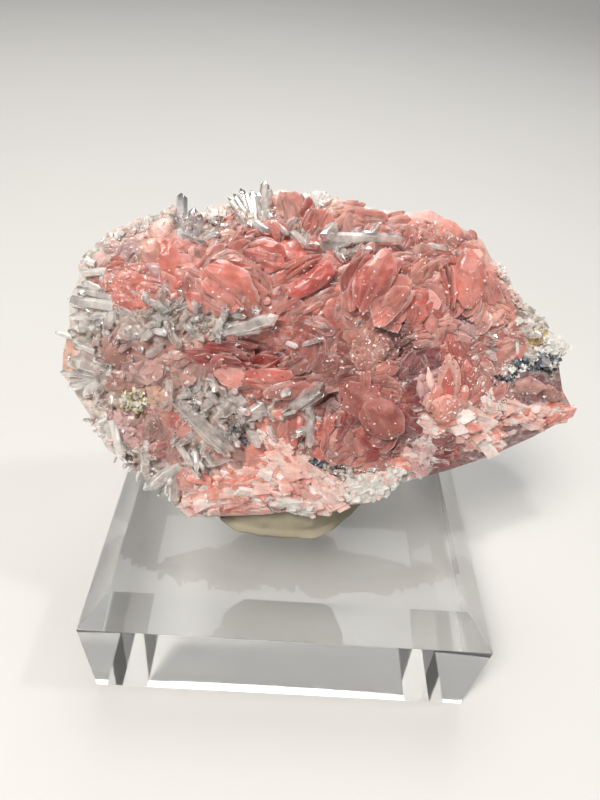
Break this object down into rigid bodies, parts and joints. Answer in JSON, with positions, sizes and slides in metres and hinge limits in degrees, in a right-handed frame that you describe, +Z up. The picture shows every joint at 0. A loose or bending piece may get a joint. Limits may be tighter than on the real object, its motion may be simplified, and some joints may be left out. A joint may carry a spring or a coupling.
{
  "type": "rhodochrosite mineral specimen on a clear acrylic block",
  "caption": "Cluster of lens-shaped rhodochrosite crystals with quartz prisms and dark sulfide on rock, stuck with putty to a bevelled clear acrylic block.",
  "frame": {"origin": "middle of the acrylic block's underside", "axes": "+Z up, -Y towards the viewer that the crystal face leans back from, +X to that viewer's right"},
  "size_m": [0.0643, 0.0508, 0.0589],
  "materials": {
    "acrylic": "clear cast acrylic, polished faces and bevels",
    "putty": "dull grey-beige mineral putty, pressed by hand",
    "host_rock": "broken mixture of pink rhodochrosite, white quartz and dark sulfide",
    "rhodochrosite": "deep coral, translucent, satin to glassy lens-shaped crystals",
    "pale_rhodochrosite": "salmon pink, translucent, satin",
    "cleavage": "pale pink freshly broken cleavage with a pearly shine",
    "milky_quartz": "white, sugary",
    "quartz": "clear to milky six-sided crystals, striated across the prism faces",
    "sphalerite": "black with a bright resinous to metallic glitter",
    "pyrite": "pale brassy green granules, partly rusty"
  },
  "bodies": {
    "root": {"acrylic_block": "acrylic", "mounting_putty": "putty", "host_rock": "host_rock", "quartz_standing_prisms": "quartz", "quartz_needle_spray": "quartz", "quartz_long_prism": "quartz", "quartz_diagonal_prisms": "quartz", "quartz_big_prism": "quartz", "quartz_striated_prism": "quartz", "quartz_bright_prism": "quartz", "quartz_small_bright_prism": "quartz", "quartz_striped_prism": "quartz", "quartz_left_prisms": "quartz", "quartz_upper_left_prisms": "quartz", "quartz_milky_wedge": "quartz", "quartz_pale_fan": "quartz", "quartz_lower_left_prisms": "quartz", "quartz_hanging_prism": "quartz", "quartz_corner_prism": "quartz", "quartz_long_bundle": "quartz", "quartz_crossed_prisms": "quartz", "quartz_grey_pair": "quartz", "quartz_upright_prism": "quartz", "rhodochrosite_salmon_blades": "pale_rhodochrosite", "rhodochrosite_left_patch": "rhodochrosite", "rhodochrosite_bright_blades": "rhodochrosite", "rhodochrosite_leaf_stack": "rhodochrosite", "rhodochrosite_top_blades": "pale_rhodochrosite", "rhodochrosite_top_right_blades": "pale_rhodochrosite", "rhodochrosite_centre_blades": "rhodochrosite", "rhodochrosite_right_blades": "rhodochrosite", "rhodochrosite_layered_blades": "rhodochrosite", "rhodochrosite_sparkling_dome": "pale_rhodochrosite", "rhodochrosite_smooth_lens": "rhodochrosite", "rhodochrosite_teardrop": "pale_rhodochrosite", "rhodochrosite_plum_blades": "rhodochrosite", "rhodochrosite_brown_lenses": "rhodochrosite", "rhodochrosite_lower_left_blades": "rhodochrosite", "rhodochrosite_upright_blades": "rhodochrosite", "rhodochrosite_inner_blade": "rhodochrosite", "rhodochrosite_wedge_blade": "rhodochrosite", "rhodochrosite_rose_lens": "rhodochrosite", "cleavage_lower_left": "cleavage", "cleavage_lower_middle": "cleavage", "cleavage_rose_column": "cleavage", "cleavage_lower_right": "cleavage", "cleavage_right_ledge": "cleavage", "cleavage_right_nub": "pale_rhodochrosite", "cleavage_plum_lump": "rhodochrosite", "milky_quartz_foot": "milky_quartz", "milky_quartz_right_tip": "milky_quartz", "milky_quartz_top_knob": "milky_quartz", "sphalerite_right": "sphalerite", "sphalerite_middle": "sphalerite", "sphalerite_left": "sphalerite", "pyrite_left": "pyrite"}
  },
  "joints": []
}
